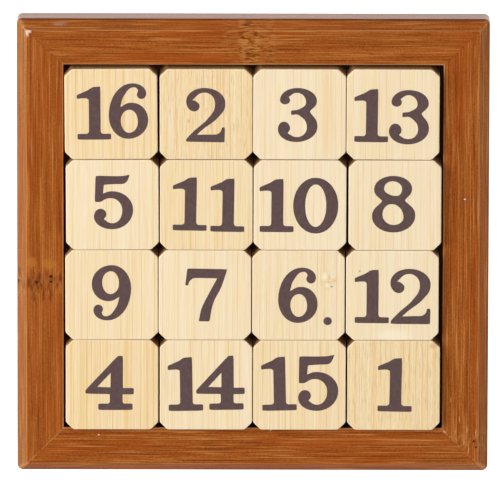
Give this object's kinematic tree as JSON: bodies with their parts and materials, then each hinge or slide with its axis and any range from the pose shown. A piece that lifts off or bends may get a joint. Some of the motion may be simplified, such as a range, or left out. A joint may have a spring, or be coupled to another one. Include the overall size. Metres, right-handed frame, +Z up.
{
  "type": "number tile puzzle",
  "caption": "Square bamboo tray with mitred rails and a base panel, filled with loose numbered square tiles that lift out and are rearranged.",
  "frame": {"origin": "centre of the frame's outline on its underside, which rests on the table", "axes": "+Z up out of the tray, +X to the right and +Y away from a player who reads the numbers upright"},
  "size_m": [0.15, 0.15, 0.0121],
  "materials": {
    "rail_bamboo": "carbonised bamboo strip under satin lacquer",
    "panel_bamboo": "thin carbonised bamboo board, matt",
    "tile_bamboo": "natural bamboo, sanded, matt",
    "numeral_ink": "dark brown screen-printed ink"
  },
  "bodies": {
    "tray": {"rail_north": "rail_bamboo", "rail_east": "rail_bamboo", "rail_south": "rail_bamboo", "rail_west": "rail_bamboo", "base_panel": "panel_bamboo"},
    "tile_01": {"tile_01": "tile_bamboo"},
    "tile_02": {"tile_02": "tile_bamboo"},
    "tile_03": {"tile_03": "tile_bamboo"},
    "tile_04": {"tile_04": "tile_bamboo"},
    "tile_05": {"tile_05": "tile_bamboo"},
    "tile_06": {"tile_06": "tile_bamboo"},
    "tile_07": {"tile_07": "tile_bamboo"},
    "tile_08": {"tile_08": "tile_bamboo"},
    "tile_09": {"tile_09": "tile_bamboo"},
    "tile_10": {"tile_10": "tile_bamboo"},
    "tile_11": {"tile_11": "tile_bamboo"},
    "tile_12": {"tile_12": "tile_bamboo"},
    "tile_13": {"tile_13": "tile_bamboo"},
    "tile_14": {"tile_14": "tile_bamboo"},
    "tile_15": {"tile_15": "tile_bamboo"},
    "tile_16": {"tile_16": "tile_bamboo"}
  },
  "joints": [
    {"name": "tile_01_lift", "type": "slide", "parent": "tray", "child": "tile_01", "axis": [0, 0, 1], "range_m": [0, 0.03]},
    {"name": "tile_02_lift", "type": "slide", "parent": "tray", "child": "tile_02", "axis": [0, 0, 1], "range_m": [0, 0.03]},
    {"name": "tile_03_lift", "type": "slide", "parent": "tray", "child": "tile_03", "axis": [0, 0, 1], "range_m": [0, 0.03]},
    {"name": "tile_04_lift", "type": "slide", "parent": "tray", "child": "tile_04", "axis": [0, 0, 1], "range_m": [0, 0.03]},
    {"name": "tile_05_lift", "type": "slide", "parent": "tray", "child": "tile_05", "axis": [0, 0, 1], "range_m": [0, 0.03]},
    {"name": "tile_06_lift", "type": "slide", "parent": "tray", "child": "tile_06", "axis": [0, 0, 1], "range_m": [0, 0.03]},
    {"name": "tile_07_lift", "type": "slide", "parent": "tray", "child": "tile_07", "axis": [0, 0, 1], "range_m": [0, 0.03]},
    {"name": "tile_08_lift", "type": "slide", "parent": "tray", "child": "tile_08", "axis": [0, 0, 1], "range_m": [0, 0.03]},
    {"name": "tile_09_lift", "type": "slide", "parent": "tray", "child": "tile_09", "axis": [0, 0, 1], "range_m": [0, 0.03]},
    {"name": "tile_10_lift", "type": "slide", "parent": "tray", "child": "tile_10", "axis": [0, 0, 1], "range_m": [0, 0.03]},
    {"name": "tile_11_lift", "type": "slide", "parent": "tray", "child": "tile_11", "axis": [0, 0, 1], "range_m": [0, 0.03]},
    {"name": "tile_12_lift", "type": "slide", "parent": "tray", "child": "tile_12", "axis": [0, 0, 1], "range_m": [0, 0.03]},
    {"name": "tile_13_lift", "type": "slide", "parent": "tray", "child": "tile_13", "axis": [0, 0, 1], "range_m": [0, 0.03]},
    {"name": "tile_14_lift", "type": "slide", "parent": "tray", "child": "tile_14", "axis": [0, 0, 1], "range_m": [0, 0.03]},
    {"name": "tile_15_lift", "type": "slide", "parent": "tray", "child": "tile_15", "axis": [0, 0, 1], "range_m": [0, 0.03]},
    {"name": "tile_16_lift", "type": "slide", "parent": "tray", "child": "tile_16", "axis": [0, 0, 1], "range_m": [0, 0.03]}
  ]
}
